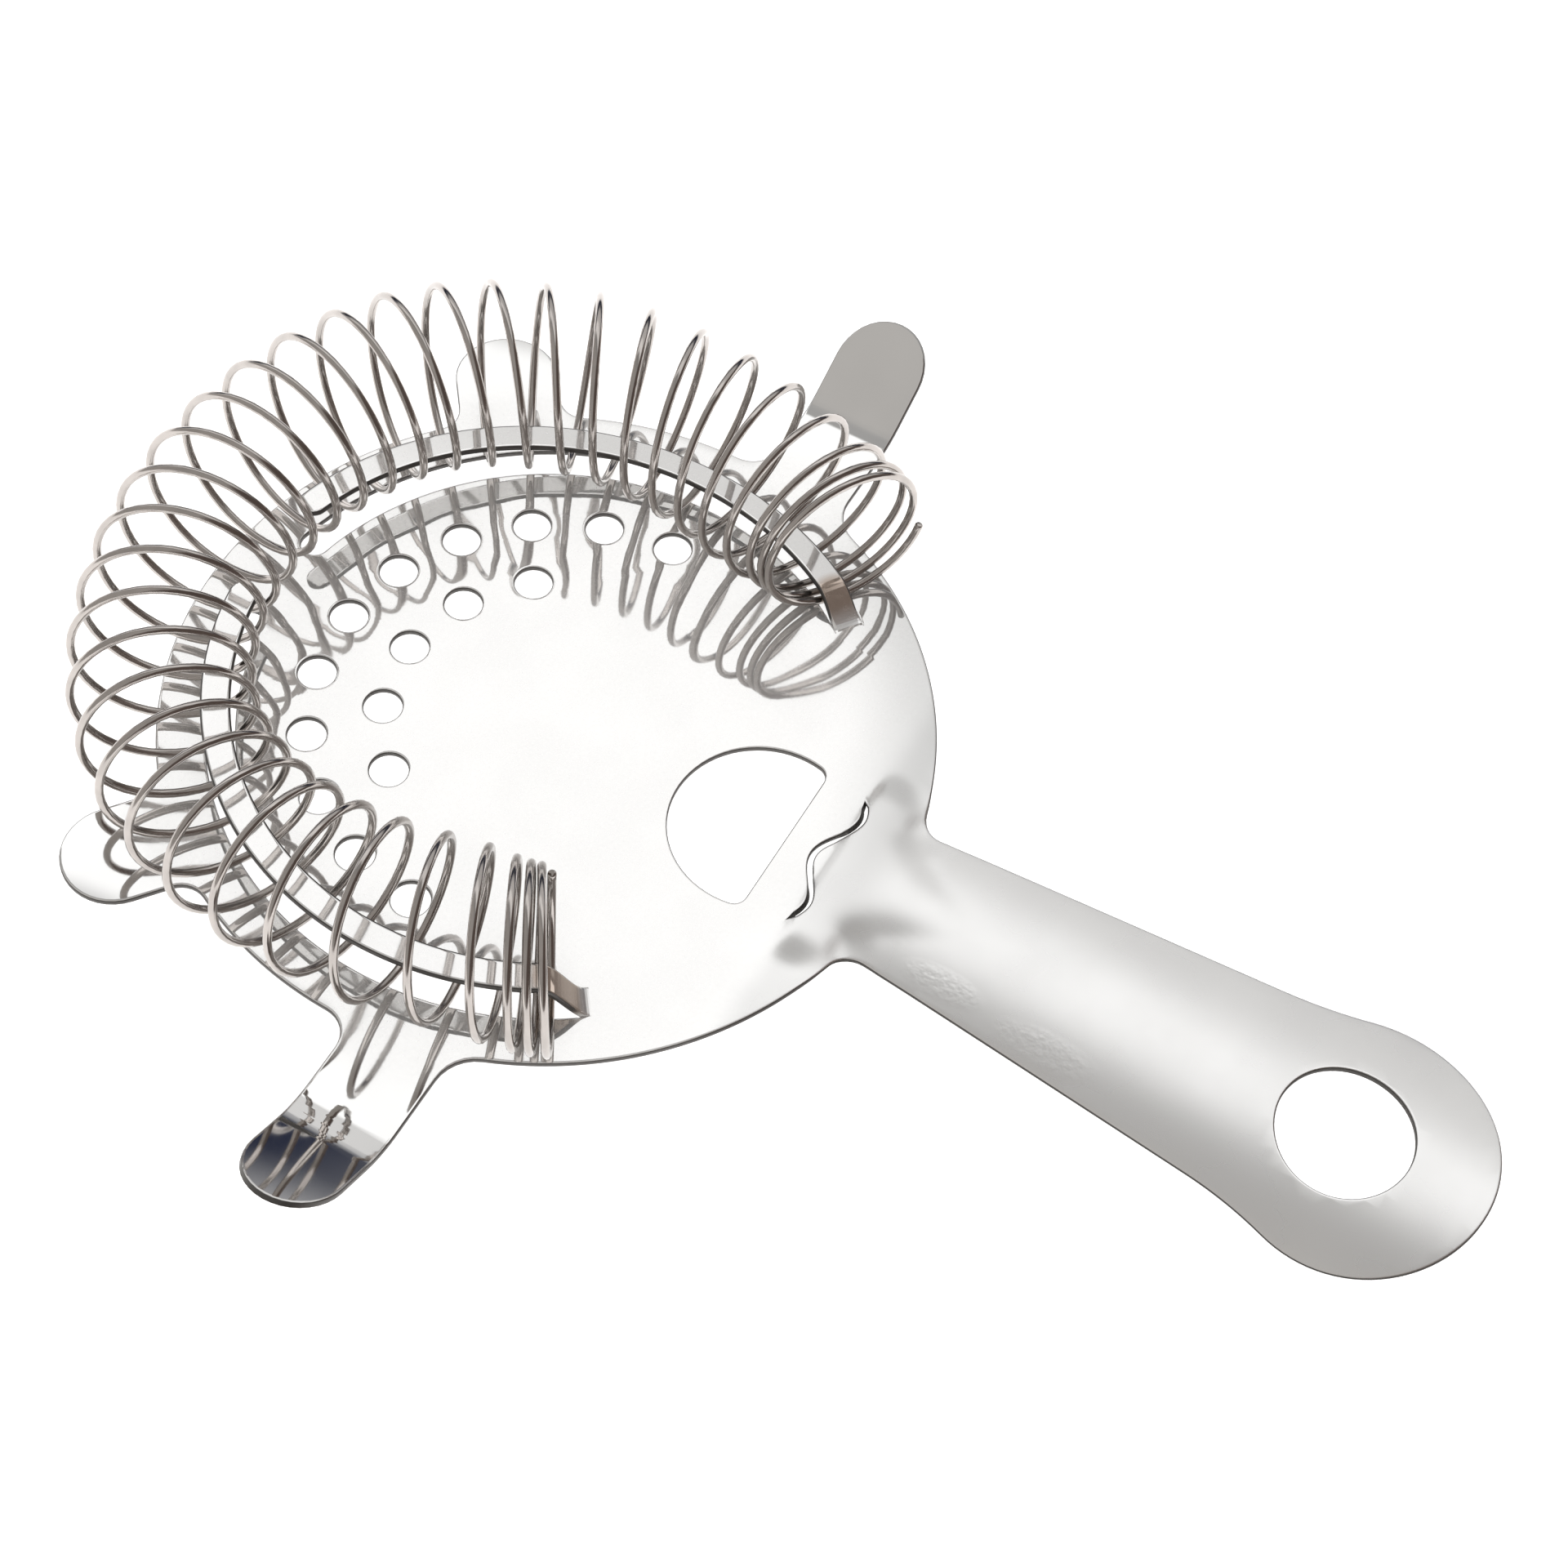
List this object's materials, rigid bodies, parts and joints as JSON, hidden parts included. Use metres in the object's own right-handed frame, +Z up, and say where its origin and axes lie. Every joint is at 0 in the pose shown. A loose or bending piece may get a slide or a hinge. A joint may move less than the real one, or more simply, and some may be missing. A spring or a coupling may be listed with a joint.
{
  "type": "hawthorne strainer",
  "caption": "Cocktail strainer: round perforated steel disc with side ears, two spring fingers, a soft coil spring round its front half and an arched handle with a hanging hole.",
  "frame": {"origin": "centre of the disc at its underside", "axes": "+X along the handle, +Z up through the disc on the spring's side"},
  "size_m": [0.1731, 0.1386, 0.0275],
  "materials": {
    "polished_steel": "mirror polished disc, satin handle",
    "spring_wire": "bright drawn wire"
  },
  "bodies": {
    "plate": {"strainer_plate": "polished_steel"},
    "spring": {"coil_spring": "spring_wire"}
  },
  "joints": [
    {"name": "spring_push", "type": "slide", "parent": "plate", "child": "spring", "axis": [1, 0, 0], "range_m": [0, 0.006], "stiffness_N_per_m": 250, "deforming": ["coil_spring"]}
  ]
}
